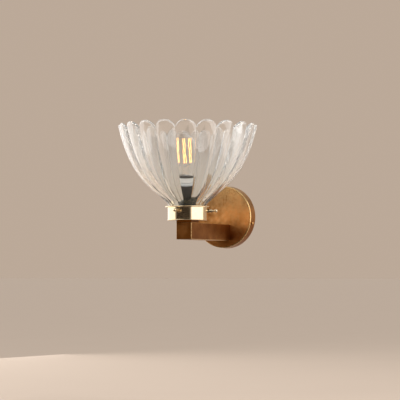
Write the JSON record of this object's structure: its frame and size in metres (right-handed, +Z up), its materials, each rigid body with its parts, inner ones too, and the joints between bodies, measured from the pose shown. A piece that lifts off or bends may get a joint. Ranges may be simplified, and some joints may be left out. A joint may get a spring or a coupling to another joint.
{
  "type": "wall sconce",
  "caption": "Wall sconce with a round wall plate, a square arm, a polished gallery cup and a fluted, scalloped clear glass shell shade round a candle lamp.",
  "frame": {"origin": "centre of the wall plate's back, on the wall plane", "axes": "+Y into the wall, -Y out into the room along the arm, +Z up through the shade, +X to the right of someone facing the wall"},
  "size_m": [0.2122, 0.2461, 0.1887],
  "materials": {
    "aged_brass": "antique copper-brown patina, rubbed bright on the edges",
    "dark_brass": "dark antique patina",
    "polished_brass": "polished pale gold",
    "plain_brass": "turned, unlacquered",
    "tinned_copper": "tin plated",
    "zinc_steel": "zinc plated",
    "clear_glass": "pressed, clear and glossy",
    "lamp_glass": "clear",
    "black_moulding": "satin black",
    "dark_collar": "dark grey",
    "pale_insulator": "off-white",
    "black_insulator": "vitreous black",
    "lamp_cap": "bright",
    "filament": "warm phosphor coating, lit",
    "soft_tip": "translucent nylon",
    "soft_seat": "soft black",
    "bush_rubber": "soft black",
    "wire_brown": "brown insulation",
    "wire_blue": "blue insulation",
    "wire_green_yellow": "green and yellow insulation"
  },
  "bodies": {
    "fixed": {"wall_bracket": "zinc_steel", "wall_plate": "aged_brass", "side_screws": "aged_brass", "terminal_block": "pale_insulator", "terminal_tubes": "plain_brass", "terminal_screws": "zinc_steel", "block_screws": "zinc_steel", "earth_eyelet": "tinned_copper", "earth_screw": "plain_brass", "earth_wire": "wire_green_yellow", "live_wire": "wire_brown", "neutral_wire": "wire_blue", "plate_bush": "bush_rubber", "arm_screws": "zinc_steel", "arm_foot": "plain_brass", "arm_tube": "aged_brass", "arm_end_cap": "dark_brass", "arm_washer": "zinc_steel", "arm_nut": "plain_brass", "gallery_stem": "plain_brass", "gallery_spacer": "dark_brass", "gallery_cup": "polished_brass", "gallery_nut": "plain_brass", "gallery_bosses": "polished_brass", "seat_ring": "soft_seat", "lampholder_base": "black_moulding", "lampholder_skirt": "black_moulding", "lampholder_core": "pale_insulator", "holder_terminals": "plain_brass", "thread_shell": "plain_brass", "centre_contact": "plain_brass"},
    "shade": {"shade": "clear_glass"},
    "bulb": {"bulb_cap": "lamp_cap", "bulb_insulator": "black_insulator", "bulb_tip": "plain_brass", "bulb_collar": "dark_collar", "bulb_glass": "lamp_glass", "bulb_stem": "lamp_glass", "bulb_filaments": "filament", "bulb_leads": "zinc_steel"},
    "tip_front": {"screw_tip_front": "soft_tip"},
    "screw_front": {"thumbscrew_front": "polished_brass"},
    "tip_right": {"screw_tip_right": "soft_tip"},
    "screw_right": {"thumbscrew_right": "polished_brass"},
    "tip_left": {"screw_tip_left": "soft_tip"},
    "screw_left": {"thumbscrew_left": "polished_brass"}
  },
  "joints": [
    {"name": "shade_lift", "type": "slide", "parent": "fixed", "child": "shade", "axis": [0, 0, 1], "range_m": [0, 0.145]},
    {"name": "bulb_lift", "type": "slide", "parent": "fixed", "child": "bulb", "axis": [0, 0, 1], "range_m": [0, 0.115]},
    {"name": "travel_front", "type": "slide", "parent": "fixed", "child": "tip_front", "axis": [0, -1, 0], "range_m": [0, 0.0042]},
    {"name": "turn_front", "type": "hinge", "parent": "tip_front", "child": "screw_front", "pos_m": [0, -0.14, 0.006], "axis": [0, -1, 0], "range_deg": [0, 2160]},
    {"name": "travel_right", "type": "slide", "parent": "fixed", "child": "tip_right", "axis": [0.866, 0.5, 0], "range_m": [0, 0.0042]},
    {"name": "turn_right", "type": "hinge", "parent": "tip_right", "child": "screw_right", "pos_m": [0, -0.14, 0.006], "axis": [0.866, 0.5, 0], "range_deg": [0, 2160]},
    {"name": "travel_left", "type": "slide", "parent": "fixed", "child": "tip_left", "axis": [-0.866, 0.5, 0], "range_m": [0, 0.0042]},
    {"name": "turn_left", "type": "hinge", "parent": "tip_left", "child": "screw_left", "pos_m": [0, -0.14, 0.006], "axis": [-0.866, 0.5, 0], "range_deg": [0, 2160]}
  ],
  "couplings": [
    {"joint": "turn_front", "follows": "travel_front", "rad_per_m": 8976},
    {"joint": "turn_right", "follows": "travel_right", "rad_per_m": 8976},
    {"joint": "turn_left", "follows": "travel_left", "rad_per_m": 8976}
  ]
}
